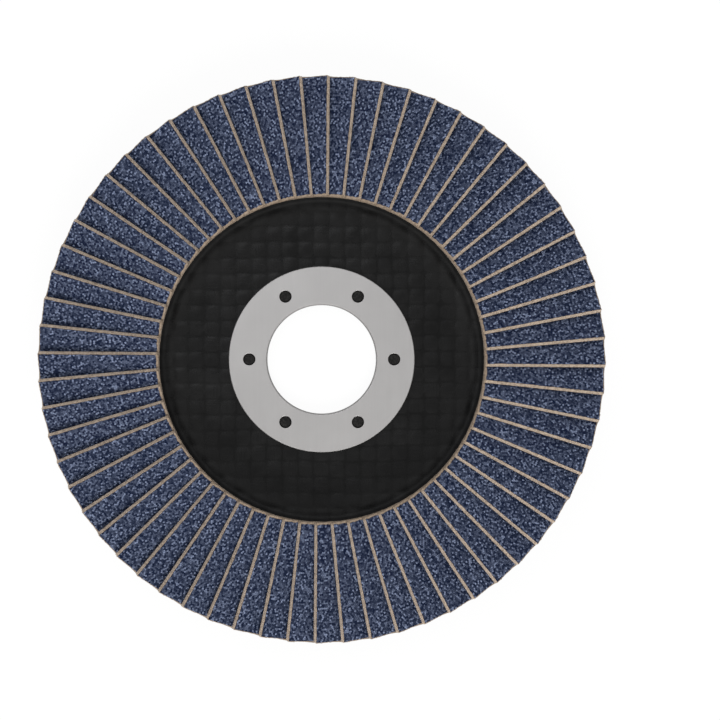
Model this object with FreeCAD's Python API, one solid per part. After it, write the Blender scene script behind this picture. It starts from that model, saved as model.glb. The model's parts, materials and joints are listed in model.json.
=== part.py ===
import FreeCAD, Part
import math
import os
from FreeCAD import Placement, Rotation, Vector

# A flap disc for an angle grinder: a ring of overlapping abrasive cloth flaps, glued by their
# lower edges to a dished glass-fibre plate, with a stamped steel bush round the spindle bore.
# Sizes are in millimetres and angles in degrees.
# The origin is on the bore's axis, on the back of the hub, where the grinder's flange seats.
# +Z leaves the working face, so the disc lies on its hub with the flaps upwards.

# Overall sizes
disc_diameter = 115.0
bore_diameter = 22.23

# Abrasive flaps
flap_count = 64
flap_length = 24.3
flap_width = 14.0
flap_thickness = 1.3
flap_gap = 0.23
edge_lead = 0.62
first_flap_angle = 0.4
flaps_per_node = 2

# Backing plate
plate_thickness = 2.4
rim_inset = 6.0
flap_overhang = 2.8
step_run = 3.0
hub_depth = 4.5
land_fall_angle = 4.0
hub_fillet = 1.5
land_fillet = 1.0
plate_edge_round = 0.5

# Steel bush: a flange on the hub's front and a collar through it
bush_wall = 0.8
flange_width = 7.835
flange_edge_round = 0.15
bore_mouth_round = 0.3
collar_clearance = 0.1

# Keying holes in the flange, filled by pegs of the plate's resin
keying_hole_count = 6
keying_hole_diameter = 2.46
keying_hole_offset = 3.66
peg_recess = 0.3
peg_clearance = 0.05
cutter_margin = 1.0

# Adhesive between the land and the flaps' lower edges
glue_line = 0.25
glue_depth = 1.3
glue_edge_inset = 1.2


def sin(degrees):
    return math.sin(math.radians(degrees))


def cos(degrees):
    return math.cos(math.radians(degrees))


def tan(degrees):
    return math.tan(math.radians(degrees))


def rounded_outline(corners):
    """A closed wire in the XZ plane from (radius, height, rounding) corners."""
    count = len(corners)
    points = [Vector(radius, 0, height) for radius, height, rounding in corners]
    starts = []
    ends = []
    middles = []
    for i in range(count):
        rounding = corners[i][2]
        to_last = (points[i - 1] - points[i]).normalize()
        to_next = (points[(i + 1) % count] - points[i]).normalize()
        half_angle = to_last.getAngle(to_next) / 2
        tangent = rounding / math.tan(half_angle)
        bisector = (to_last + to_next).normalize()
        starts.append(points[i] + to_last * tangent)
        ends.append(points[i] + to_next * tangent)
        middles.append(points[i] + bisector * (rounding / math.sin(half_angle) - rounding))
    edges = []
    for i in range(count):
        if corners[i][2] > 0:
            edges.append(Part.Arc(starts[i], middles[i], ends[i]).toShape())
        edges.append(Part.LineSegment(ends[i], starts[(i + 1) % count]).toShape())
    return Part.Wire(edges)


def turned(corners):
    """A solid of revolution about Z from an outline's corners."""
    face = Part.Face(rounded_outline(corners))
    return face.revolve(Vector(0, 0, 0), Vector(0, 0, 1), 360)


def cylinder(radius, bottom, top, x=0.0, y=0.0):
    return Part.makeCylinder(radius, top - bottom, Vector(x, y, bottom))


def keying_circle():
    """The centres of the keying holes, a fixed way out from the bore's wall."""
    radius = bore_diameter / 2 + keying_hole_offset
    step = 360.0 / keying_hole_count
    return [(radius * cos(i * step), radius * sin(i * step)) for i in range(keying_hole_count)]


def inner_reach():
    """The radius at which the flaps' inner ends lie."""
    return disc_diameter / 2 - flap_length


def flap_tilt():
    """The angle at which neighbouring flaps nest, one thickness and one gap apart.

    They stand closest at their inner ends.
    """
    pitch = 2 * math.pi * inner_reach() / flap_count
    return math.degrees(math.asin((flap_thickness + flap_gap) / pitch))


def rim_radius():
    return disc_diameter / 2 - rim_inset


def land_knee_radius():
    """Where the land starts. The flaps' inner ends reach past it, over the step."""
    return inner_reach() + flap_overhang


def land_height(radius):
    """The height of the land's front face, on which the flaps are glued."""
    return plate_thickness + hub_depth - (radius - land_knee_radius()) * tan(land_fall_angle)


def make_backing_plate():
    """The pressed laminate: a flat hub, a filleted step and a land that falls to the rim."""
    hole = bore_diameter / 2 + bush_wall + collar_clearance
    rim = rim_radius()
    land_knee = land_knee_radius()
    hub_knee = land_knee - step_run
    step_angle = math.degrees(math.atan(hub_depth / step_run))
    # The back's knees lie on the bisectors of the front's, one wall away
    hub_shift = plate_thickness * tan(step_angle / 2)
    land_drop = plate_thickness * cos(land_fall_angle)
    land_bisector = (step_angle - land_fall_angle) / 2
    land_offset = plate_thickness / cos((step_angle + land_fall_angle) / 2)
    back_land_knee = land_knee + land_offset * sin(land_bisector)
    back_land_height = land_height(land_knee) - land_offset * cos(land_bisector)
    rim_shift = plate_thickness * sin(land_fall_angle)
    plate = turned([
        (hole, 0.0, 0.0),
        (hub_knee + hub_shift, 0.0, hub_fillet + plate_thickness),
        (back_land_knee, back_land_height, land_fillet),
        (rim - rim_shift, land_height(rim) - land_drop, plate_edge_round),
        (rim, land_height(rim), plate_edge_round),
        (land_knee, land_height(land_knee), land_fillet + plate_thickness),
        (hub_knee, plate_thickness, hub_fillet),
        (hole, plate_thickness, 0.0),
    ])
    peg_radius = keying_hole_diameter / 2 - peg_clearance
    peg_top = plate_thickness + bush_wall - peg_recess
    pegs = [cylinder(peg_radius, plate_thickness / 2, peg_top, x, y) for x, y in keying_circle()]
    return plate.fuse(pegs).removeSplitter()


def make_centre_ring():
    """The steel bush, drawn from one blank: a flange, and a collar that lines the bore."""
    bore = bore_diameter / 2
    top = plate_thickness + bush_wall
    bush = turned([
        (bore, 0.0, 0.0),
        (bore + bush_wall, 0.0, 0.0),
        (bore + bush_wall, plate_thickness, 0.0),
        (bore + flange_width, plate_thickness, 0.0),
        (bore + flange_width, top, flange_edge_round),
        (bore, top, bore_mouth_round),
    ])
    radius = keying_hole_diameter / 2
    start = plate_thickness - cutter_margin
    end = top + cutter_margin
    holes = [cylinder(radius, start, end, x, y) for x, y in keying_circle()]
    return bush.cut(holes)


def flap_corner():
    """Where the first flap's raised inner corner lies before the flap is turned to its place.

    The working face's lower outer corner is the furthest point of the disc from its axis, so
    the disc's diameter sets the reach. The height brings the flap's lowest corner, at its
    inner end, to the glue line over the land.
    """
    tilt = flap_tilt()
    face_drop = flap_width * sin(tilt)
    full_drop = face_drop + flap_thickness * cos(tilt)
    face_side = flap_width * cos(tilt) - edge_lead
    low_side = face_side - flap_thickness * sin(tilt)
    outer = math.sqrt((disc_diameter / 2) ** 2 - face_side ** 2) + face_drop * sin(land_fall_angle)
    inner = outer - flap_length * cos(land_fall_angle)
    low_inner = inner - full_drop * sin(land_fall_angle)
    seat = land_height(math.hypot(low_inner, low_side)) + glue_line
    return Vector(inner, -edge_lead, seat + full_drop * cos(land_fall_angle))


def make_flap(index):
    """One cut rectangle of abrasive cloth, its raised edge along the disc's radius."""
    flap = Part.makeBox(flap_length, flap_width, flap_thickness, Vector(0, 0, -flap_thickness))
    fall = Rotation(Vector(0, 1, 0), land_fall_angle)
    lean = Rotation(Vector(1, 0, 0), -flap_tilt())
    flap.Placement = Placement(flap_corner(), fall.multiply(lean))
    turn = -first_flap_angle - index * 360.0 / flap_count
    flap.rotate(Vector(0, 0, 0), Vector(0, 0, 1), turn)
    return flap


def make_adhesive_bed(plate, flaps):
    """The resin on the land, moulded to the plate and round the lower edges of the flaps."""
    start = land_knee_radius()
    end = rim_radius() - glue_edge_inset
    bed = turned([
        (start, land_height(start) - plate_thickness / 2, 0.0),
        (end, land_height(end) - plate_thickness / 2, 0.0),
        (end, land_height(end) + glue_depth, 0.0),
        (start, land_height(start) + glue_depth, 0.0),
    ])
    return bed.cut([plate] + flaps)


def save(name, shape):
    shape.exportStep(os.path.join("parts", name + ".step"))
    print(name, "solids", len(shape.Solids), "volume", round(shape.Volume, 1))


def main():
    os.makedirs("parts", exist_ok=True)
    plate = make_backing_plate()
    save("backing_plate", plate)
    save("centre_ring", make_centre_ring())
    flaps = [make_flap(index) for index in range(flap_count)]
    save("adhesive_bed", make_adhesive_bed(plate, flaps))
    for first in range(0, flap_count, flaps_per_node):
        name = "flap_pair_%02d" % (first // flaps_per_node + 1)
        save(name, Part.makeCompound(flaps[first:first + flaps_per_node]))


main()
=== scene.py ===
import json
import math

import bpy
import numpy as np
from bpy.props import FloatProperty, FloatVectorProperty, IntProperty, PointerProperty
from bpy.types import Operator, Panel, PropertyGroup
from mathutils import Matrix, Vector
from mathutils.bvhtree import BVHTree
from mathutils.geometry import delaunay_2d_cdt


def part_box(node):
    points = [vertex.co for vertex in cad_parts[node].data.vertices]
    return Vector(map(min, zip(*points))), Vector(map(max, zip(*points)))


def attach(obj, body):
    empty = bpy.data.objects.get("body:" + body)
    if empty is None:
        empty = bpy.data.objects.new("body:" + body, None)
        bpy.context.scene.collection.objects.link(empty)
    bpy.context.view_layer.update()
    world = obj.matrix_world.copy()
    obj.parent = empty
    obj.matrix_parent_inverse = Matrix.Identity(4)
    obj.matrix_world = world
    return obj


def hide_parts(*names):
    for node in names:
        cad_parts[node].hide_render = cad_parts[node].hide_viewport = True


bl_info = {
    "name": "Flap Disc Finish",
    "version": (1, 0, 0),
    "blender": (4, 5, 0),
    "location": "View3D > Sidebar > Flap Disc",
    "description": "Builds the grit, cloth, laminate and steel of a flap disc on its solids",
    "category": "Object",
}

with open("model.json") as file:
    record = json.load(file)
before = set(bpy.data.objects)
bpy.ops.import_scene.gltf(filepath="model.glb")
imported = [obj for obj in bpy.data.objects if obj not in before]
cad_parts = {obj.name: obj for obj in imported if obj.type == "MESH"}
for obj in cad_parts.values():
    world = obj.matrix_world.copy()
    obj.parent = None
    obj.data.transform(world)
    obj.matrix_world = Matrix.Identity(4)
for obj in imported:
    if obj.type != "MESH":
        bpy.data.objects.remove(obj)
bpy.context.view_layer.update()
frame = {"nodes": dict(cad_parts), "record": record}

MM = 0.001
BODY = "root"
PLATE = "backing_plate"
RING = "centre_ring"
ADHESIVE = "adhesive_bed"
FLAP_NODES = sorted(name for name in frame["nodes"] if name.startswith("flap_pair_"))
MOUNTS = {mount["name"]: mount for mount in frame["record"]["mounts"]}
BORE_RADIUS = MOUNTS["spindle_bore"]["dims"]["r_mm"] * MM


# Sizes and colours that a user would change

class GritSettings(PropertyGroup):
    """The abrasive grain on the flaps' working faces."""

    spacing: FloatProperty(
        name="Lattice spacing",
        description="Distance between neighbouring points of the grain's surface",
        default=0.235 * MM, min=0.1 * MM, subtype="DISTANCE", unit="LENGTH", precision=5)
    height: FloatProperty(
        name="Grain height", description="How far the grains' tips stand above the resin between them",
        default=0.17 * MM, min=0.0, subtype="DISTANCE", unit="LENGTH", precision=5)
    band: FloatProperty(
        name="Full-detail band",
        description="Width of the grain that is modelled finely, from the raised edge",
        default=7.0 * MM, min=1.0 * MM, subtype="DISTANCE", unit="LENGTH", precision=5)
    coat: FloatProperty(
        name="Coat", description="Thickness of the resin coat that holds the grain",
        default=0.15 * MM, min=0.0, subtype="DISTANCE", unit="LENGTH", precision=5)
    dark: FloatVectorProperty(
        name="Dark grain", description="Colour of the darkest grains and of the resin between them",
        default=(0.002, 0.006, 0.023), subtype="COLOR", size=3, min=0.0, max=1.0)
    light: FloatVectorProperty(
        name="Light grain", description="Colour of the lightest grains",
        default=(0.248, 0.296, 0.428), subtype="COLOR", size=3, min=0.0, max=1.0)


class ClothSettings(PropertyGroup):
    """The cotton backing, which shows at the cut edges and underneath."""

    yarn: FloatProperty(
        name="Yarn pitch", description="Distance from one yarn of the cloth to the next",
        default=0.42 * MM, min=0.1 * MM, subtype="DISTANCE", unit="LENGTH", precision=5)
    fray: FloatProperty(
        name="Fray", description="How far the cut yarns' ends stand out of the edge",
        default=0.08 * MM, min=0.0, subtype="DISTANCE", unit="LENGTH", precision=5)
    inner_margin: FloatProperty(
        name="Inner margin", description="Width of bare cloth that the shears leave at the inner end",
        default=0.50 * MM, min=0.01 * MM, subtype="DISTANCE", unit="LENGTH", precision=5)
    inner_trim: FloatProperty(
        name="Inner trim", description="How far the inner end stays inside the flap's nominal length",
        default=0.09 * MM, min=0.0, subtype="DISTANCE", unit="LENGTH", precision=5)
    outer_margin: FloatProperty(
        name="Outer margin", description="Width of bare cloth that the shears leave at the outer end",
        default=0.16 * MM, min=0.01 * MM, subtype="DISTANCE", unit="LENGTH", precision=5)
    side_margin: FloatProperty(
        name="Side margin", description="Width of bare cloth along the raised and the glued edge",
        default=0.06 * MM, min=0.01 * MM, subtype="DISTANCE", unit="LENGTH", precision=5)
    light: FloatVectorProperty(
        name="Light yarn", description="Colour of the cut yarns that face the light",
        default=(0.49, 0.395, 0.31), subtype="COLOR", size=3, min=0.0, max=1.0)
    dark: FloatVectorProperty(
        name="Dark yarn", description="Colour of the glue between the yarns",
        default=(0.16, 0.118, 0.083), subtype="COLOR", size=3, min=0.0, max=1.0)
    size_coat: FloatVectorProperty(
        name="Back coat",
        description="Colour of the stiffening resin on the cloth's back, at its cut edge",
        default=(0.13, 0.085, 0.055), subtype="COLOR", size=3, min=0.0, max=1.0)
    stain: FloatVectorProperty(
        name="Stain", description="Colour of the resin that has soaked into the flaps' inner ends",
        default=(0.13, 0.082, 0.042), subtype="COLOR", size=3, min=0.0, max=1.0)


class LaminateSettings(PropertyGroup):
    """The pressed glass-fibre plate."""

    weave: FloatProperty(
        name="Weave pitch", description="Distance from one roving of the glass cloth to the next",
        default=3.2 * MM, min=0.5 * MM, subtype="DISTANCE", unit="LENGTH", precision=5)
    relief: FloatProperty(
        name="Relief", description="How far the rovings' crossings stand above the grooves",
        default=0.10 * MM, min=0.0, subtype="DISTANCE", unit="LENGTH", precision=5)
    step: FloatProperty(
        name="Ring spacing", description="Distance from one ring of the plate's points to the next",
        default=0.38 * MM, min=0.2 * MM, subtype="DISTANCE", unit="LENGTH", precision=5)
    segments: IntProperty(
        name="Segments", description="Divisions of the plate round its axis", default=480, min=32)
    colour: FloatVectorProperty(
        name="Laminate", description="Colour of the black resin over the rovings",
        default=(0.0044, 0.0044, 0.0045), subtype="COLOR", size=3, min=0.0, max=1.0)
    peg_colour: FloatVectorProperty(
        name="Resin specks", description="Colour of the light specks in the resin of the small holes",
        default=(0.014, 0.013, 0.012), subtype="COLOR", size=3, min=0.0, max=1.0)
    # Painted light: a grey that lifts the plate's colour where shade falls at the foot of the step, and
    # on the step
    haze_colour: FloatVectorProperty(
        name="Painted step light", description="Colour of the painted light at the foot of the step and on it",
        default=(0.018, 0.018, 0.018), subtype="COLOR", size=3, min=0.0, max=1.0)


class SteelSettings(PropertyGroup):
    """The stamped ring."""

    colour: FloatVectorProperty(
        name="Steel", description="Colour of the bare steel",
        default=(0.352, 0.345, 0.342), subtype="COLOR", size=3, min=0.0, max=1.0)
    roughness: FloatProperty(
        name="Roughness", description="Roughness of the rolled surface",
        default=0.36, min=0.05, max=1.0)
    segments: IntProperty(
        name="Segments", description="Divisions of the ring round its axis", default=288, min=32)
    rim_round: FloatProperty(
        name="Rim rounding", description="Radius of the ring's outer edge",
        default=0.15 * MM, min=0.01 * MM, subtype="DISTANCE", unit="LENGTH", precision=5)
    mouth_round: FloatProperty(
        name="Bore rounding", description="Radius of the bend where the ring turns down into the bore",
        default=0.30 * MM, min=0.01 * MM, subtype="DISTANCE", unit="LENGTH", precision=5)
    hole_round: FloatProperty(
        name="Hole rounding", description="Radius that the punch leaves at the edge of each small hole",
        default=0.06 * MM, min=0.01 * MM, subtype="DISTANCE", unit="LENGTH", precision=5)


class StageSettings(PropertyGroup):
    """The camera, the lamps and the floor."""

    camera_height: FloatProperty(
        name="Camera height", description="Height of the camera above the top of the flaps",
        default=0.46, min=0.1, subtype="DISTANCE", unit="LENGTH")
    picture_width: FloatProperty(
        name="Picture width", description="Width that the picture spans at the top of the flaps",
        default=0.1431, min=0.05, subtype="DISTANCE", unit="LENGTH")
    axis_left: FloatProperty(
        name="Axis offset",
        description="Share of the picture's width by which the disc's axis lies left of centre",
        default=0.0532, min=-0.5, max=0.5)
    axis_up: FloatProperty(
        name="Axis rise",
        description="Share of the picture's width by which the disc's axis lies above centre",
        default=0.0009, min=-0.5, max=0.5)
    key_place: FloatVectorProperty(
        name="Key lamp", description="Place of the key lamp, which looks at the disc's origin",
        default=(0.07, -0.62, 0.76), subtype="TRANSLATION", unit="LENGTH", size=3)
    key_power: FloatProperty(
        name="Key power", description="Power of the key lamp", default=6.6, min=0.0, unit="POWER")
    fill_place: FloatVectorProperty(
        name="Fill lamp", description="Place of the fill lamp, which looks at the disc's origin",
        default=(-0.22, 0.40, 0.82), subtype="TRANSLATION", unit="LENGTH", size=3)
    fill_power: FloatProperty(
        name="Fill power", description="Power of the fill lamp", default=2.6, min=0.0, unit="POWER")
    sky: FloatProperty(
        name="Sky", description="Strength of the even white light from all sides",
        default=0.78, min=0.0)


class DiscSettings(PropertyGroup):
    """Everything that the panel shows."""

    grit: PointerProperty(type=GritSettings)
    cloth: PointerProperty(type=ClothSettings)
    laminate: PointerProperty(type=LaminateSettings)
    steel: PointerProperty(type=SteelSettings)
    stage: PointerProperty(type=StageSettings)


# Shader maths

class Signal:
    """A socket's value or colour, which Python expressions turn into nodes."""

    def __init__(self, finish, socket):
        self.finish = finish
        self.socket = socket

    def maths(self, operation, *others, reverse=False, clamp=False):
        operands = [self, *others]
        if reverse:
            operands.reverse()
        settings = {"operation": operation, "use_clamp": clamp}
        return self.finish.node("ShaderNodeMath", settings, dict(enumerate(operands)))

    def __add__(self, other):
        return self.maths("ADD", other)

    def __radd__(self, other):
        return self.maths("ADD", other, reverse=True)

    def __sub__(self, other):
        return self.maths("SUBTRACT", other)

    def __rsub__(self, other):
        return self.maths("SUBTRACT", other, reverse=True)

    def __mul__(self, other):
        return self.maths("MULTIPLY", other)

    def __rmul__(self, other):
        return self.maths("MULTIPLY", other, reverse=True)

    def clamped(self):
        return self.maths("ADD", 0.0, clamp=True)

    def smooth(self, low, high):
        """0 below low, 1 above high and an even curve between them."""
        settings = {"interpolation_type": "SMOOTHSTEP"}
        return self.finish.node("ShaderNodeMapRange", settings, {0: self, 1: low, 2: high})


class Finish:
    """A material that is being put together."""

    def __init__(self, name):
        self.material = bpy.data.materials.new(name)
        self.material.use_nodes = True
        self.tree = self.material.node_tree
        self.tree.nodes.clear()

    def node(self, kind, settings=None, inputs=None, output=0):
        """Adds a node: its settings first, then the values or links of its sockets.

        Gives the signal of the chosen output, and nothing for a node that has no output.
        """
        made = self.tree.nodes.new(kind)
        for key, value in (settings or {}).items():
            setattr(made, key, value)
        for key, value in (inputs or {}).items():
            if isinstance(value, Signal):
                self.tree.links.new(value.socket, made.inputs[key])
            else:
                made.inputs[key].default_value = value
        return None if output is None else Signal(self, made.outputs[output])

    def place(self):
        """The surface point in the object's own metres."""
        return self.node("ShaderNodeTexCoord", output="Object")

    def attribute(self, name, output="Fac"):
        """What the mesh stores under a name. It is zero where the mesh stores nothing."""
        return self.node("ShaderNodeAttribute", {"attribute_name": name}, output=output)

    def noise(self, vector, pitch, detail=2.0, roughness=0.5):
        """Noise whose lumps are about one pitch apart, around 0.5."""
        inputs = {"Vector": vector, "Scale": 1.0 / pitch, "Detail": detail, "Roughness": roughness}
        return self.node("ShaderNodeTexNoise", None, inputs)

    def stretched(self, vector, scale):
        return self.node("ShaderNodeVectorMath", {"operation": "MULTIPLY"}, {0: vector, 1: scale})

    def part_of(self, vector, axis):
        return self.node("ShaderNodeSeparateXYZ", None, {0: vector}, axis)

    def blend(self, factor, first, second):
        """A colour between two colours."""
        inputs = {"Factor": factor, 6: solid(first), 7: solid(second)}
        return self.node("ShaderNodeMix", {"data_type": "RGBA"}, inputs, 2)

    def bump(self, height, distance, strength):
        inputs = {"Height": height, "Distance": distance, "Strength": strength}
        return self.node("ShaderNodeBump", None, inputs)

    def surface(self, **inputs):
        """Ends the material in one principled surface."""
        named = {key.replace("_", " "): value for key, value in inputs.items()}
        return self.ending(self.node("ShaderNodeBsdfPrincipled", None, named))

    def ending(self, shader):
        self.node("ShaderNodeOutputMaterial", None, {"Surface": shader}, output=None)
        return self.material


def solid(colour):
    """A colour with its alpha, unless it is a link already."""
    return colour if isinstance(colour, Signal) else (*colour[:3], 1.0)


# Finishes, which read these values of the meshes:
#   tone, height     a grain's tone, and how high a point of the grain stands
#   cloth_place      a point's place in the cloth
#    rise, haze       how steep the plate's upper side is, and how much painted light lifts its shade at the step
#   inner, back      1 at a flap's inner end, and 1 on its back
#   weave_height     how high the skin over the glass cloth stands, from 0 to 1
#   weave_upright    1 where the roving along Y is the upper one
#   rise, haze       how steep the plate's upper side is, and how grey its skin
#   peg, bend        1 on the resin pegs, and 1 where the steel is bent or rounded

def grit_finish(settings):
    """Blue-grey grains in dark resin. Each grain and facet has its own tone, and the low points are
    darker: partly the dark resin between grains, partly painted shade.
    """
    made = Finish("abrasive_grit")
    tone = made.attribute("tone")
    height = made.attribute("height")
    place = made.place()
    patches = made.noise(place, pitch=6.0 * MM)
    fine = made.noise(place, pitch=0.12 * MM)
    # Low points darker: partly the dark resin between the grains, partly painted shade in the hollows
    lit = (tone * (0.42 + height * 0.60) * (0.9 + patches * 0.2)).clamped()
    return made.surface(
        Base_Color=made.blend(lit, settings.dark, settings.light),
        Roughness=0.50 + fine * 0.35,
        Normal=made.bump(fine, distance=0.03 * MM, strength=0.6),
        Specular_IOR_Level=0.05)


def cloth_finish(settings):
    """Tan cotton. Yarns show as light lobes at the cut edges and as a plain weave underneath."""
    made = Finish("backing_cloth")
    place = made.attribute("cloth_place", "Vector")
    cut = made.attribute("cut_depth") * (1.0 - made.attribute("back"))
    turns = 2.0 * math.pi / settings.yarn
    x, y, z = (made.part_of(place, axis) for axis in "XYZ")
    warp = (x * turns).maths("SINE")
    weft = (y * turns).maths("SINE")
    slant = ((x + z * 0.8) * turns).maths("SINE")
    at_edge = cut.smooth(0.01, 0.05)
    weave = (warp * weft) * (1.0 - at_edge) + slant * at_edge
    fibres = made.noise(place, pitch=0.26 * MM, detail=3.0, roughness=0.6)
    patches = made.noise(place, pitch=0.55 * MM)
    tone = (weave * (0.2 + at_edge * 0.25) + fibres * 2.7 + patches * 2.0 - 1.70).clamped()
    yarns = made.blend(tone * (0.36 + at_edge * 0.64), settings.dark, settings.light)
    stained = (made.attribute("inner") * at_edge * (fibres * 3.0 - 0.9)).clamped()
    yarns = made.blend(stained, yarns, settings.stain)
    coated = cut.smooth(0.92, 0.99)
    relief = weave * 0.3 + fibres * 0.7
    return made.surface(
        Base_Color=made.blend(coated, yarns, settings.size_coat),
        Roughness=0.85,
        Normal=made.bump(relief, distance=0.05 * MM, strength=0.7),
        Specular_IOR_Level=0.2,
        Sheen_Weight=0.1)


def laminate_finish(settings):
    """Black resin over glass rovings, a little glossier and lighter on the crossings."""
    made = Finish("black_laminate")
    place = made.place()
    weave = made.attribute("weave_height")
    upright = made.attribute("weave_upright")
    peg = made.attribute("peg")
    strands_y = made.noise(made.stretched(place, (1.0, 0.08, 1.0)), pitch=0.30 * MM)
    strands_x = made.noise(made.stretched(place, (0.08, 1.0, 1.0)), pitch=0.30 * MM)
    strands = strands_y * upright + strands_x * (1.0 - upright)
    patches = made.noise(place, pitch=5.0 * MM)
    pores = made.noise(place, pitch=0.25 * MM, roughness=0.7)
    crossings = weave.smooth(0.0, 0.28) * 0.75 + weave * 0.2
    shade = (crossings + patches * 1.9 - 0.95) * (0.2 + strands * 1.6)
    most_shade = 6.0
    brightest = [most_shade * channel for channel in settings.colour]
    colour = made.blend((shade * (1.0 / most_shade)).clamped(), (0.0, 0.0, 0.0), brightest)
    colour = made.blend(peg * pores.smooth(0.46, 0.62), colour, settings.peg_colour)
    # Painted light: a speckled grey lift over the shade at the foot of the step and on it
    colour = made.blend(made.attribute("haze") * (0.2 + pores * 0.6), colour, settings.haze_colour)
    rise = made.attribute("rise")
    gloss = weave * 0.06 + strands * 0.06
    rough = (0.26 + patches * 0.10 - gloss + peg * 0.30 + rise * 0.6).clamped()
    relief = strands * 0.6 + pores * (0.4 + peg)
    return made.surface(
        Base_Color=colour,
        Roughness=rough,
        Normal=made.bump(relief, distance=0.03 * MM, strength=0.5),
        Specular_IOR_Level=0.16)


def steel_finish(settings):
    """Rolled steel with faint lines along its rolling direction."""
    made = Finish("stamped_steel")
    place = made.place()
    along_y = made.stretched(place, (1.0, 0.02, 1.0))
    lines = made.noise(along_y, pitch=0.25 * MM, detail=3.0, roughness=0.6)
    clouds = made.noise(place, pitch=6.0 * MM, detail=3.0)
    pits = made.noise(place, pitch=0.2 * MM)
    bend = made.attribute("bend")
    # Bent and rounded edges painted darker as shade, which damps their highlights
    tone = (lines * 0.35 + clouds * 0.35 + 0.15 - bend * 0.6).clamped()
    darker = [0.90 * channel for channel in settings.colour]
    lighter = [1.08 * channel for channel in settings.colour]
    return made.surface(
        Base_Color=made.blend(tone, darker, lighter),
        Metallic=1.0,
        Roughness=settings.roughness - 0.05 + lines * 0.06 + clouds * 0.05 + bend * 0.3,
        Normal=made.bump(lines * 0.6 + pits * 0.4, distance=0.01 * MM, strength=0.35))


def adhesive_finish():
    """Dark brown cured resin with small flow marks."""
    made = Finish("cured_resin")
    flow = made.noise(made.place(), pitch=1.2 * MM, detail=3.0)
    dark, light = (0.035, 0.022, 0.012), (0.10, 0.065, 0.035)
    return made.surface(
        Base_Color=made.blend(flow, dark, light),
        Roughness=0.25 + flow * 0.2,
        Normal=made.bump(flow, distance=0.15 * MM, strength=0.6))


def floor_finish():
    """A pale floor. The camera sees it nearly white, with the disc's shadow on it."""
    made = Finish("pale_floor")
    seen = made.node("ShaderNodeLightPath", output="Is Camera Ray")
    glossy = made.node("ShaderNodeLightPath", output="Is Glossy Ray")
    through = made.node("ShaderNodeLightPath", output="Is Transmission Ray")
    mask = seen.maths("MAXIMUM", glossy).maths("MAXIMUM", through)
    grain = made.noise(made.place(), pitch=2.0 * MM)
    shade = made.blend(grain, (0.80, 0.80, 0.80), (0.82, 0.82, 0.82))
    matte = made.node("ShaderNodeBsdfDiffuse", None, {"Color": shade})
    glow = made.node("ShaderNodeEmission", None, {"Color": (1.0, 1.0, 1.0, 1.0), "Strength": 1.0})
    glow_share = 0.94
    mixed = made.node("ShaderNodeMixShader", None, {0: mask * glow_share, 1: matte, 2: glow})
    return made.ending(mixed)


# Meshes

class Shell:
    """A mesh put together from loops of points, with the values that its finishes read."""

    def __init__(self):
        self.count = 0
        self.points = []
        self.faces = []
        self.finishes = []
        self.smooth = []
        self.point_values = {}
        self.face_values = {}

    def add(self, points, **values):
        """Adds points and gives back their numbers."""
        first = self.count
        self.points.append(points)
        self.count += len(points)
        for name, value in values.items():
            self.point_values.setdefault(name, []).append((first, value))
        return np.arange(first, self.count)

    def skin(self, faces, finish=0, smooth=True, **values):
        """Adds faces that all have one finish."""
        first = len(self.faces)
        self.faces += [list(face) for face in faces]
        self.finishes += [finish] * len(faces)
        self.smooth += [smooth] * len(faces)
        for name, value in values.items():
            self.face_values.setdefault(name, []).append((first, value))

    def bridge(self, upper, lower, **options):
        """Joins two closed loops of as many points by quads."""
        quads = np.stack([upper, lower, np.roll(lower, -1), np.roll(upper, -1)], -1)
        self.skin(quads.tolist(), **options)

    def piece(self, name, materials, nodes):
        """Makes the object, which rides on the body and stands for the nodes."""
        mesh = bpy.data.meshes.new(name)
        mesh.from_pydata(np.concatenate(self.points).tolist(), [], self.faces)
        for material in materials:
            mesh.materials.append(material)
        mesh.polygons.foreach_set("use_smooth", self.smooth)
        mesh.polygons.foreach_set("material_index", self.finishes)
        for key, runs in self.point_values.items():
            store_values(mesh, key, "POINT", self.count, runs)
        for key, runs in self.face_values.items():
            store_values(mesh, key, "FACE", len(self.faces), runs)
        mesh.update()
        made = bpy.data.objects.new(name, mesh)
        bpy.context.scene.collection.objects.link(made)
        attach(made, BODY)
        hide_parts(*nodes)
        return made


def store_values(mesh, name, domain, count, runs):
    """Writes runs of values to an attribute. What no run covers stays at zero."""
    wide = np.ndim(runs[0][1]) == 2
    values = np.zeros((count, 3) if wide else count, np.float32)
    for first, run in runs:
        values[first:first + len(run)] = run
    made = mesh.attributes.new(name, "FLOAT_VECTOR" if wide else "FLOAT", domain)
    made.data.foreach_set("vector" if wide else "value", values.ravel())


def circle(radius, height, segments, x=0.0, y=0.0):
    """A loop of points round an upright axis, anticlockwise from above."""
    angle = np.arange(segments) * 2.0 * math.pi / segments
    heights = np.full(segments, height)
    return np.stack([x + radius * np.cos(angle), y + radius * np.sin(angle), heights], -1)


def rounding(centre_radius, centre_height, size, start, end, steps=6):
    """The (radius, height) points of an arc between two angles in degrees."""
    return [(centre_radius + size * math.cos(angle), centre_height + size * math.sin(angle))
            for angle in np.radians(np.linspace(start, end, steps + 1))]


# Flaps

WELD = 0.001 * MM         # vertices closer than this are one point
HIDDEN_PITCH = 3.2 * MM   # distance between the rows of the grain that the next flap hides
END_RAGGED = 0.1 * MM     # how unevenly the grain stops at the inner end
SIDE_RAGGED = 0.05 * MM   # how unevenly it stops along the two long edges
# Heights as shares of the grain's: the tips, the points between them, the points of the rim and of
# the hidden rows, and the height at which a grain's colour is darkest
TIP_HEIGHTS = (0.15, 0.62)
DIP_HEIGHTS = (-0.40, -0.12)
PLAIN_HEIGHT = -0.2
DARKEST_HEIGHT = -0.38
CUT_STEPS = (0.1, 0.3, 0.5, 0.7, 0.9)   # the cut edge's loops, as shares of the cloth's thickness


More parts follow.
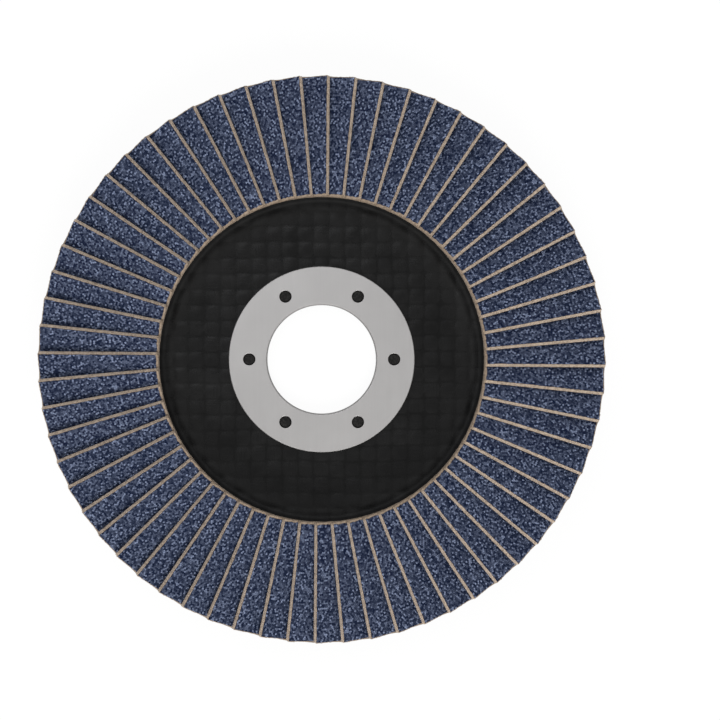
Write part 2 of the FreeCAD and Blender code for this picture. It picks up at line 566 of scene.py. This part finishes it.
def separate_solids(node):
    """The corner points of each separate solid of a CAD node."""
    mesh = frame["nodes"][node].data
    points = np.array([vertex.co for vertex in mesh.vertices])
    keys = np.round(points / WELD).astype(np.int64)
    corners, index = np.unique(keys, axis=0, return_inverse=True)
    index = index.ravel()
    group = np.arange(len(corners))
    for polygon in mesh.polygons:
        joined = group[index[list(polygon.vertices)]]
        group[np.isin(group, joined)] = joined.min()
    places = np.array([points[index == i].mean(0) for i in range(len(corners))])
    return [places[group == number] for number in np.unique(group)]


class Flap:
    """One flap's box, read from the frame.

    Its own axes are along (to the rim), up (across the flap to its raised edge) and out
    (square to the working face). Its origin is the inner end of the face's lower edge.
    """

    def __init__(self, corners):
        centre = corners.mean(0)
        axes = np.linalg.svd(corners - centre)[2]
        radial = np.array([centre[0], centre[1], 0.0])
        self.along = axes[0] * np.sign(axes[0] @ radial)
        self.up = axes[1] * np.sign(axes[1][2])
        self.out = axes[2] * np.sign(axes[2][2])
        axes = np.array([self.along, self.up, self.out])
        self.length, self.width, self.thickness = np.ptp(corners @ axes.T, axis=0)
        self.origin = centre - self.along * self.length / 2 - self.up * self.width / 2
        self.origin += self.out * self.thickness / 2
        direction = math.degrees(math.atan2(self.along[1], self.along[0])) % 360.0
        self.random = np.random.default_rng(round(100 * direction))

    def world(self, local):
        """Where points given along the flap's own axes lie."""
        return self.origin + local @ np.array([self.along, self.up, self.out])


def lattice_rows(start, end, grit):
    """The rows of the grain's lattice across a flap, and how many coarse ones come first."""
    step = grit.spacing * math.sqrt(3) / 2
    fine = round(grit.band / step)
    coarse = max(2, round((end - start - fine * step) / HIDDEN_PITCH))
    hidden = np.linspace(start, end - fine * step, coarse, endpoint=False)
    return np.concatenate([hidden, end - step * np.arange(fine, -1, -1)]), coarse


def smooth_noise(count, pitch, random):
    """A closed run of random values from -1 to 1 that changes about once in each pitch."""
    knots = max(4, round(count / pitch))
    values = random.uniform(-1, 1, knots)
    place = np.arange(count) * knots / count
    left = np.floor(place).astype(int) % knots
    share = place - np.floor(place)
    share = share * share * (3 - 2 * share)
    return values[left] * (1 - share) + values[(left + 1) % knots] * share


def beside(value, row):
    """The values at the six tips round each tip of the lattice."""
    near = [np.roll(value, 2, 0), np.roll(value, -2, 0)]
    for turn in (1, -1):
        line = np.roll(value, turn, 0)
        for in_odd, in_even in ((-2, -1), (1, 2)):
            shifted = np.where(row % 2 == 1, np.roll(line, in_odd, 1), np.roll(line, in_even, 1))
            near.append(shifted)
    return near


def grain_tones(row, random):
    """A tone for each tip: dark grains tend to lie beside light ones, and some span two tips."""
    contrast, long_share = 0.12, 0.2
    middle, spread, darkening = 0.44, 0.31, 2.1
    value = random.normal(0.0, 1.0, row.shape)
    value = value - contrast * sum(beside(value, row))
    near = beside(value, row)
    longer = np.choose(random.integers(0, len(near), row.shape), near)
    value = np.where(random.uniform(0.0, 1.0, row.shape) < long_share, longer, value)
    return (middle + spread * value).clip(0.0, 1.0) ** darkening


def grain_face(shell, flap, grit, cloth):
    """The working face: a lattice in which every third point is a grain's tip.

    Gives the numbers and the local places of the points along its rim, clockwise from outside.
    """
    random = flap.random
    rows, coarse = lattice_rows(cloth.side_margin, flap.width - cloth.side_margin, grit)
    length = flap.length - cloth.inner_margin - cloth.outer_margin
    columns = round(length / grit.spacing)
    row, column = np.meshgrid(np.arange(len(rows)), np.arange(columns + 1), indexing="ij")
    inside = (row > 0) & (row < len(rows) - 1) & (column > 0) & (column < columns)
    share = (column + np.where(inside, 0.5 * (row % 2), 0.0)) / columns
    jitter = 0.26 * grit.spacing
    along = cloth.inner_margin + share * length
    along += inside * random.uniform(-jitter, jitter, row.shape)
    across = rows[row] + (inside & (row > coarse)) * random.uniform(-jitter, jitter, row.shape)
    ragged = END_RAGGED * smooth_noise(len(rows), 2.0, random)
    along[:, 0] += ragged
    along[:, -1] -= 0.3 * ragged
    across[0] += SIDE_RAGGED * smooth_noise(columns + 1, 1.6, random)
    across[-1] -= SIDE_RAGGED * smooth_noise(columns + 1, 1.6, random)
    tip = (column - row // 2 - row) % 3 == 0
    high = random.uniform(*TIP_HEIGHTS, row.shape)
    low = random.uniform(*DIP_HEIGHTS, row.shape)
    height = np.where(inside & (row >= coarse), np.where(tip, high, low), PLAIN_HEIGHT)
    points = np.stack([along, across, height * grit.height], -1).reshape(-1, 3)
    level = np.clip(height.ravel() - DARKEST_HEIGHT, 0.0, 1.0)
    index = shell.add(flap.world(points), height=level).reshape(row.shape)
    odd = (row[:-1, :-1] % 2 == 1)[..., None]
    a, b, c, d = index[:-1, :-1], index[:-1, 1:], index[1:, 1:], index[1:, :-1]
    one = np.where(odd, np.stack([a, c, b], -1), np.stack([a, d, b], -1)).reshape(-1, 3)
    two = np.where(odd, np.stack([a, d, c], -1), np.stack([b, d, c], -1)).reshape(-1, 3)
    faces = np.concatenate([one, two])
    local = faces - index[0, 0]
    owner = local[np.arange(len(local)), tip.ravel()[local].argmax(1)]
    grain = grain_tones(row, random).ravel()[owner]
    facet_share = 0.14
    facet = random.beta(0.7, 2.4, len(faces))
    tone = (1.0 - facet_share) * grain + facet_share * facet
    shell.skin(faces.tolist(), smooth=False, tone=tone)
    rim = np.concatenate([index[0, :-1], index[:-1, -1], index[-1, :0:-1], index[:0:-1, 0]])
    return rim, points[rim - index[0, 0]]


def flap_shell(shell, flap, grit, cloth):
    """A flap: the grain, its coat's edge, the bare margins, the cloth's cut edges and its back."""
    random = flap.random
    rim, edge = grain_face(shell, flap, grit, cloth)
    count = len(rim)
    ends = np.array([flap.length, flap.width])
    slack = 0.45 * grit.spacing
    near = edge[:, :2] < np.array([cloth.inner_margin, cloth.side_margin]) + slack
    far = edge[:, :2] > ends - np.array([cloth.outer_margin, cloth.side_margin]) - slack
    outward = far * 1.0 - near * 1.0
    outline = np.where(near, [cloth.inner_trim, 0.0], np.where(far, ends, edge[:, :2]))
    at_inner_end = near[:, 0] * 1.0
    offset = np.append(random.uniform(0.0, 50.0 * MM, 2), 0.0)

    def ring(share, depth, fray, cut):
        """A loop between the grain's rim (share 0) and the box's outline (share 1)."""
        lobes = 0.6 * smooth_noise(count, 1.8, random) + 0.4 * random.uniform(-1, 1, count)
        plan = edge[:, :2] * (1 - share) + outline * share + outward * (lobes * fray)[:, None]
        waves = 0.25 * grit.coat * smooth_noise(count, 2.5, random) * (cut < 1.0)
        local = np.column_stack([plan, waves - depth])
        values = {"cloth_place": local + offset, "cut_depth": np.full(count, cut), "inner": at_inner_end}
        return shell.add(flap.world(local), **values)

    last = ring(0.0, grit.coat, 0.0, 0.0)
    shell.bridge(last, rim, smooth=False, tone=0.1 * random.beta(0.9, 2.2, count))
    body = flap.thickness - grit.coat
    # Each loop's share, depth, fray and place in the cut, from the grain down to the back
    levels = [(0.5, 0.95 * grit.coat, 0.3, 0.0), (0.95, 1.05 * grit.coat, 1.0, 0.0)]
    levels += [(1.0, grit.coat + body * share, 1.0, share) for share in CUT_STEPS]
    levels += [(1.0, flap.thickness, 0.0, 1.0)]
    for share, depth, frayed, cut in levels:
        lower = ring(share, depth, frayed * cloth.fray, cut)
        shell.bridge(lower, last, finish=1)
        last = lower
    shell.skin([last.tolist()], finish=1, smooth=False, back=[1.0])


# Plate and ring

PEG_SEGMENTS = 40
HOLE_SEGMENTS = 56
BETWEEN_PEGS = 30.0         # a direction in degrees in which the plate has no resin peg
HAIR = 0.01 * MM            # heights or radii closer than this count as one
RIM_STEPS = (0.50, 0.34, 0.20, 0.09, 0.02)   # the rings near the rim, in mm inside it
STEEP = 0.3                 # a slope that counts as the step, as the sine of its angle
# Painted light that lifts the plate's shade at the foot of the step and on it, by shares of the land's
# radius
PAINTED_LIGHT_PLACES = (0.74, 0.828, 0.85, 0.86, 0.872, 0.883, 1.0)
PAINTED_LIGHT_AMOUNTS = (0.0, 0.5, 1.0, 1.0, 0.2, 0.5, 0.5)


def turned_vertices(node):
    """The radius, the height and the place of every vertex of a node, about the disc's axis."""
    points = np.array([vertex.co for vertex in frame["nodes"][node].data.vertices])
    return np.hypot(points[:, 0], points[:, 1]), points[:, 2], points


class Side:
    """Measures how high a node's upper or lower side lies at a radius."""

    def __init__(self, node):
        mesh = frame["nodes"][node].data
        faces = [polygon.vertices[:] for polygon in mesh.polygons]
        self.tree = BVHTree.FromPolygons([vertex.co for vertex in mesh.vertices], faces)
        turn = math.radians(BETWEEN_PEGS)
        self.direction = Vector((math.cos(turn), math.sin(turn), 0.0))

    def height(self, radius, upper):
        start = self.direction * radius
        start.z = 1.0 if upper else -1.0
        place = self.tree.ray_cast(start, Vector((0.0, 0.0, -start.z)))[0]
        if place is None:
            raise RuntimeError(f"nothing lies at a radius of {radius:.5f} m")
        return place.z


class Weave:
    """A plain weave of flat rovings under a skin of resin, in line with X and Y."""

    def __init__(self, pitch, count=64):
        self.pitch = pitch
        self.count = count
        self.lift = np.random.default_rng(7).uniform(0.45, 1.0, (count, count))

    def at(self, points):
        """How high the skin stands, from 0 in the grooves to 1, and 1 where Y's roving is on top.

        The rovings sway a little from their straight lines.
        """
        sway, sway_length = 0.12 * MM, 23.0 * MM
        turns = 2.0 * math.pi / sway_length
        x = (points[:, 0] + sway * np.sin(points[:, 1] * turns + 1.0)) / self.pitch
        y = (points[:, 1] + sway * np.sin(points[:, 0] * turns * 0.8)) / self.pitch
        i, j = np.round(x), np.round(y)
        upright = (i + j) % 2
        side_x = np.cos(math.pi * (x - i)).clip(0.0, 1.0)
        side_y = np.cos(math.pi * (y - j)).clip(0.0, 1.0)
        flat = 0.55
        more = (1.0 - flat) * upright
        height = side_x ** (1.0 - more) * side_y ** (flat + more)
        return height * self.lift[i.astype(int) % self.count, j.astype(int) % self.count], upright


def keying_holes():
    """The small holes of the steel ring: x, y and radius of each, read from its vertices."""
    radius, height, points = turned_vertices(RING)
    third = np.ptp(radius) / 3.0
    on_top = height > height.max() - HAIR
    chosen = on_top & (radius > radius.min() + third / 2) & (radius < radius.max() - third / 2)
    rest = np.unique(np.round(points[chosen][:, :2], decimals=7), axis=0)
    holes = []
    while len(rest):
        close = np.hypot(*(rest - rest[0]).T) < third * 1.5
        centre = rest[close].mean(0)
        holes.append((centre[0], centre[1], np.hypot(*(rest[close] - centre).T).mean()))
        rest = rest[~close]
    return holes


def plate_piece(laminate):
    """The plate with the relief of its glass cloth on both sides, and resin in the ring's holes."""
    side = Side(PLATE)
    weave = Weave(laminate.weave)
    radius = turned_vertices(PLATE)[0]
    hole, rim = radius.min(), radius.max()
    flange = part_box(RING)[1].x
    land = turned_vertices(ADHESIVE)[0].min()
    edge = rim - np.array(RIM_STEPS) * MM
    start = hole + 0.001 * MM
    under_flange = flange - 0.5 * MM
    bare = np.arange(flange + 0.05 * MM, land, laminate.step)
    covered = np.linspace(land, edge[0], 9)[:-1]
    upper = np.concatenate([[start, under_flange], bare, covered, edge])
    back = np.arange(edge[0] - laminate.step, hole, -laminate.step)
    lower = np.concatenate([edge[::-1], back, [start]])
    shell = Shell()
    loops = []
    for radii, is_upper in ((upper, True), (lower, False)):
        heights = np.array([side.height(r, is_upper) for r in radii])
        slope = np.gradient(heights, radii)
        lean = np.hypot(1.0, slope)
        into = -1.0 if is_upper else 1.0
        for r, z, dr, dz in zip(radii, heights, -slope / lean, 1.0 / lean):
            points = circle(r, z, laminate.segments)
            height, upright = weave.at(points)
            woven = not is_upper or flange < r < land
            sunk = woven * laminate.relief * (1.0 - height) * into
            outward = points / r
            outward[:, 2] = 0.0
            points += sunk[:, None] * (outward * dr + np.array([0.0, 0.0, dz]))
            rise = is_upper * min(1.0, abs(dr) / STEEP)
            # Painted light, which lifts the shade at the foot of the step and on it
            haze = is_upper * np.interp(r / land, PAINTED_LIGHT_PLACES, PAINTED_LIGHT_AMOUNTS) * (r < land)
            even = np.ones(laminate.segments)
            loops.append(shell.add(
                points, weave_height=height, weave_upright=upright,
                rise=rise * even, haze=haze * even))
    for first, second in zip(loops, loops[1:] + loops[:1]):
        shell.bridge(first, second)
    for number, (x, y, size) in enumerate(keying_holes()):
        resin_peg(shell, x, y, size, side, flange, number)
    return shell.piece("woven_backing_plate", [laminate_finish(laminate)], [PLATE])


def resin_peg(shell, x, y, size, side, flange, number):
    """The resin that was pressed into one of the ring's holes: a rough, slightly domed plug."""
    random = np.random.default_rng(100 + number)
    foot = side.height(flange - 1.0 * MM, True)
    top, rough, gap = 0.5 * MM, 0.10 * MM, 0.05 * MM
    shares = np.array([1.0, 1.0, 0.94, 0.86, 0.74, 0.60, 0.46, 0.32, 0.18])
    heights = np.array([0.0, 0.70, 0.86, 0.93, 0.95, 0.97, 0.98, 0.99, 1.0])
    radius = size - gap
    resin = np.ones(PEG_SEGMENTS)
    last = shell.add(circle(shares[0] * radius, foot, PEG_SEGMENTS, x, y), peg=resin)
    shell.skin([last[::-1].tolist()], smooth=False)
    for share, height in zip(shares[1:], heights[1:]):
        points = circle(share * radius, foot + height * top, PEG_SEGMENTS, x, y)
        points[:, 2] -= random.uniform(0.0, rough, PEG_SEGMENTS) * (share < 0.95)
        loop = shell.add(points, peg=resin)
        shell.bridge(loop, last)
        last = loop
    shell.skin([last.tolist()])


def fill_between(shell, outer, inner, holes, upper):
    """Fills the flat between two loops with triangles and leaves the small holes open.

    Each loop is its points and their numbers. A small hole is also its centre and radius.
    """
    loops = [outer, inner] + [hole[:2] for hole in holes]
    flat = np.concatenate([points[:, :2] for points, numbers in loops]) / MM
    numbers = np.concatenate([numbers for points, numbers in loops])
    edges = []
    first = 0
    for points, _ in loops:
        turn = np.arange(first, first + len(points))
        edges += np.stack([turn, np.roll(turn, -1)], -1).tolist()
        first += len(points)
    whole_outline, tolerance = 0, 1e-7
    made = delaunay_2d_cdt([Vector(point) for point in flat], edges, [], whole_outline, tolerance)
    if len(made[0]) != len(flat):
        raise RuntimeError("the ring's loops touch one another")
    order = [sources[0] for sources in made[3]]
    outside, inside = (np.hypot(*points[0, :2]) / MM for points, _ in (outer, inner))
    for face in made[2]:
        corners = [order[corner] for corner in face]
        middle = flat[corners].mean(0)
        clear = all(
            np.hypot(*(middle - centre / MM)) > 0.999 * radius / MM
            for _, _, centre, radius in holes)
        if clear and inside < np.hypot(*middle) < outside:
            chosen = numbers[corners if upper else corners[::-1]].tolist()
            shell.skin([chosen], smooth=False)


def ring_piece(steel):
    """The stamped ring: a flat flange with six punched holes, and a collar that lines the bore."""
    radius, height, _ = turned_vertices(RING)
    flange, top = radius.max(), height.max()
    under = height[radius > flange - HAIR].min()
    collar = radius[height < HAIR].max()
    rim = rounding(flange - steel.rim_round, top - steel.rim_round, steel.rim_round, 0.0, 90.0)
    mouth_centre = BORE_RADIUS + steel.mouth_round
    mouth = rounding(mouth_centre, top - steel.mouth_round, steel.mouth_round, 90.0, 180.0)
    profile = mouth + [(BORE_RADIUS, 0.0), (collar, 0.0), (collar, under), (flange, under)] + rim
    shell = Shell()
    loops = []
    for place, (r, z) in enumerate(profile):
        points = circle(r, z, steel.segments)
        bend = np.full(steel.segments, float(0 < place < len(profile) - 1))
        loops.append((points, shell.add(points, bend=bend)))
    under_face = len(mouth) + 3
    for place, (first, second) in enumerate(zip(loops, loops[1:])):
        if place != under_face - 1:
            shell.bridge(second[1], first[1])
    upper_holes, lower_holes = [], []
    for x, y, size in keying_holes():
        edge = steel.hole_round
        wall = rounding(size + edge, top - edge, edge, 90.0, 180.0, steps=4)
        rings = []
        for r, z in wall + [(size, under)]:
            points = circle(r, z, HOLE_SEGMENTS, x, y)
            rings.append((points, shell.add(points)))
        for first, second in zip(rings, rings[1:]):
            shell.bridge(second[1], first[1])
        centre = np.array([x, y])
        upper_holes.append((*rings[0], centre, size + edge))
        lower_holes.append((*rings[-1], centre, size))
    fill_between(shell, loops[-1], loops[0], upper_holes, True)
    fill_between(shell, loops[under_face], loops[under_face - 1], lower_holes, False)
    return shell.piece("stamped_steel_ring", [steel_finish(steel)], [RING])


# Operators and panel

class DISC_OT_flaps(Operator):
    """Build every pair of abrasive flaps, with modelled grain and cut edges"""

    bl_idname = "disc.flaps"
    bl_label = "Build Flaps"

    def execute(self, context):
        disc = context.scene.disc
        materials = [grit_finish(disc.grit), cloth_finish(disc.cloth)]
        for node in FLAP_NODES:
            shell = Shell()
            for corners in separate_solids(node):
                flap_shell(shell, Flap(corners), disc.grit, disc.cloth)
            shell.piece(node.replace("pair", "cloth"), materials, [node])
        return {"FINISHED"}


class DISC_OT_plate(Operator):
    """Build the backing plate with the relief of its glass cloth"""

    bl_idname = "disc.plate"
    bl_label = "Build Backing Plate"

    def execute(self, context):
        plate_piece(context.scene.disc.laminate)
        return {"FINISHED"}


class DISC_OT_ring(Operator):
    """Build the stamped steel ring with its punched holes"""

    bl_idname = "disc.ring"
    bl_label = "Build Steel Ring"

    def execute(self, context):
        ring_piece(context.scene.disc.steel)
        return {"FINISHED"}


class DISC_OT_adhesive(Operator):
    """Give the bed of resin its finish"""

    bl_idname = "disc.adhesive"
    bl_label = "Finish Adhesive"

    def execute(self, context):
        bed = frame["nodes"][ADHESIVE]
        bed.data.materials.clear()
        bed.data.materials.append(adhesive_finish())
        return {"FINISHED"}


class DISC_OT_stage(Operator):
    """Set the floor, the lamps, the world and the camera"""

    bl_idname = "disc.stage"
    bl_label = "Set Stage"

    def execute(self, context):
        settings = context.scene.disc.stage
        scene = context.scene
        scene.view_settings.view_transform = "Standard"
        add_floor()
        add_world(scene, settings.sky)
        warm, cool = (1.0, 0.985, 0.96), (0.96, 0.97, 1.0)
        add_lamp("key_lamp", settings.key_place, settings.key_power, size=0.50, colour=warm)
        add_lamp("fill_lamp", settings.fill_place, settings.fill_power, size=0.60, colour=cool)
        add_camera(scene, settings)
        return {"FINISHED"}


def add_floor():
    half = 3.0
    corners = [(-half, -half, 0.0), (half, -half, 0.0), (half, half, 0.0), (-half, half, 0.0)]
    mesh = bpy.data.meshes.new("floor")
    mesh.from_pydata(corners, [], [(0, 1, 2, 3)])
    mesh.materials.append(floor_finish())
    floor = bpy.data.objects.new("floor", mesh)
    bpy.context.scene.collection.objects.link(floor)


def add_world(scene, strength):
    world = bpy.data.worlds.new("soft_sky")
    world.use_nodes = True
    background = world.node_tree.nodes["Background"]
    background.inputs["Color"].default_value = (1.0, 1.0, 1.0, 1.0)
    background.inputs["Strength"].default_value = strength
    scene.world = world


def add_lamp(name, place, power, size, colour):
    """A round soft lamp that looks at the origin."""
    lamp = bpy.data.lights.new(name, "AREA")
    lamp.shape = "DISK"
    lamp.size = size
    lamp.energy = power
    lamp.color = colour
    made = bpy.data.objects.new(name, lamp)
    made.location = place
    made.rotation_euler = (-Vector(place)).to_track_quat("-Z", "Y").to_euler()
    bpy.context.scene.collection.objects.link(made)


def add_camera(scene, settings):
    """Looks straight down on the working face. The shift only places the disc in the frame."""
    top = max(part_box(node)[1].z for node in FLAP_NODES)
    data = bpy.data.cameras.new("camera")
    data.sensor_width = 36.0
    data.lens = data.sensor_width * settings.camera_height / settings.picture_width
    data.shift_x = settings.axis_left
    data.shift_y = -settings.axis_up
    data.clip_start = 0.01
    camera = bpy.data.objects.new("camera", data)
    camera.location = (0.0, 0.0, top + settings.camera_height)
    scene.collection.objects.link(camera)
    scene.camera = camera


class DISC_PT_finish(Panel):
    """Lists the disc's sizes, colours and operators"""

    bl_idname = "DISC_PT_finish"
    bl_label = "Flap Disc"
    bl_space_type = "VIEW_3D"
    bl_region_type = "UI"
    bl_category = "Flap Disc"

    def draw(self, context):
        settings = context.scene.disc
        for group in (settings.grit, settings.cloth, settings.laminate, settings.steel, settings.stage):
            box = self.layout.box()
            box.label(text=group.bl_rna.name)
            for key in group.__annotations__:
                box.prop(group, key)
        for operator in OPERATORS:
            self.layout.operator(operator.bl_idname)


GROUPS = (GritSettings, ClothSettings, LaminateSettings, SteelSettings, StageSettings, DiscSettings)
OPERATORS = (DISC_OT_flaps, DISC_OT_plate, DISC_OT_ring, DISC_OT_adhesive, DISC_OT_stage)
CLASSES = (*GROUPS, *OPERATORS, DISC_PT_finish)


def register():
    for item in CLASSES:
        bpy.utils.register_class(item)
    bpy.types.Scene.disc = PointerProperty(type=DiscSettings)


def unregister():
    del bpy.types.Scene.disc
    for item in reversed(CLASSES):
        bpy.utils.unregister_class(item)


def main():
    register()
    bpy.ops.disc.flaps()
    bpy.ops.disc.plate()
    bpy.ops.disc.ring()
    bpy.ops.disc.adhesive()
    bpy.ops.disc.stage()


if __name__ == "__main__":
    main()
